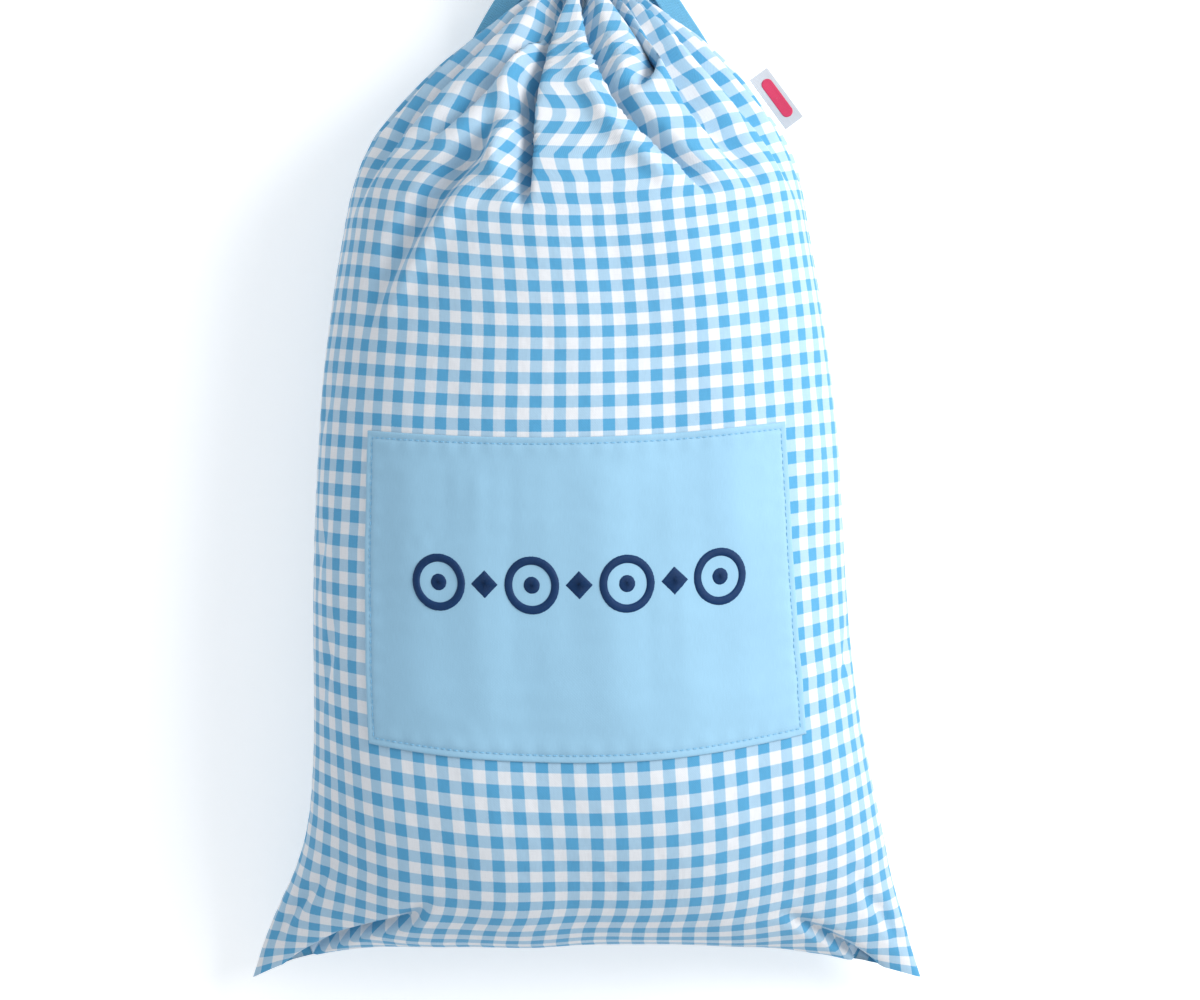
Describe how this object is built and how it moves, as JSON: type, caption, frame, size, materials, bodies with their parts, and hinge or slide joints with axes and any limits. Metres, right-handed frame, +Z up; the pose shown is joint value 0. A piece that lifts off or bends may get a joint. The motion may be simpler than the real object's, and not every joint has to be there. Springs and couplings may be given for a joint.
{
  "type": "laundry bag",
  "caption": "Gingham drawstring laundry bag with a plain name patch, filled and cinched at the neck, lying on its back; tape loops and a seam label move.",
  "frame": {"origin": "on the surface the bag lies on, under the middle of its outline, tapes not counted", "axes": "+X across the bag to the wearer's right in a front view, +Y from the bottom seam to the neck, +Z up out of the front panel"},
  "size_m": [0.3658, 0.6144, 0.1482],
  "materials": {
    "gingham": "matt woven cotton, pale blue and white check",
    "patch_cloth": "plain light blue cotton with a slight sheen",
    "drawstring": "folded self-fabric tape, matt",
    "seam_tape": "overlocked cut edges, matt",
    "thread": "sewing thread",
    "embroidery": "navy satin stitch",
    "label_cloth": "fine woven label, slight sheen",
    "label_motif": "woven pink bar"
  },
  "bodies": {
    "bag": {"front_panel": "gingham", "back_panel": "gingham", "front_casing": "gingham", "back_casing": "gingham", "front_ruffle": "gingham", "back_ruffle": "gingham", "left_side_seam": "seam_tape", "right_side_seam": "seam_tape", "bottom_seam": "seam_tape", "casing_stitching": "thread", "left_exit_hem": "gingham", "right_exit_hem": "gingham", "left_tape_run": "drawstring", "right_tape_run": "drawstring", "name_patch": "patch_cloth", "patch_stitching": "thread", "patch_motif": "embroidery"},
    "left_loop": {"left_front_strand": "drawstring", "left_back_strand": "drawstring", "left_knot": "drawstring"},
    "right_loop": {"right_front_strand": "drawstring", "right_back_strand": "drawstring", "right_knot": "drawstring"},
    "label": {"seam_label": "label_cloth", "label_motif": "label_motif"}
  },
  "joints": [
    {"name": "left_loop_swing", "type": "hinge", "parent": "bag", "child": "left_loop", "pos_m": [-0.032, 0.256, 0.05], "axis": [0, 0, -1], "range_deg": [0, 60]},
    {"name": "right_loop_swing", "type": "hinge", "parent": "bag", "child": "right_loop", "pos_m": [0.032, 0.266, 0.05], "axis": [0, 0, 1], "range_deg": [0, 60]},
    {"name": "label_flap", "type": "hinge", "parent": "bag", "child": "label", "pos_m": [0.1012, 0.1858, 0.0573], "axis": [0.5878, -0.809, 0], "range_deg": [-50, 50], "stiffness_Nm_per_rad": 0.0005}
  ]
}
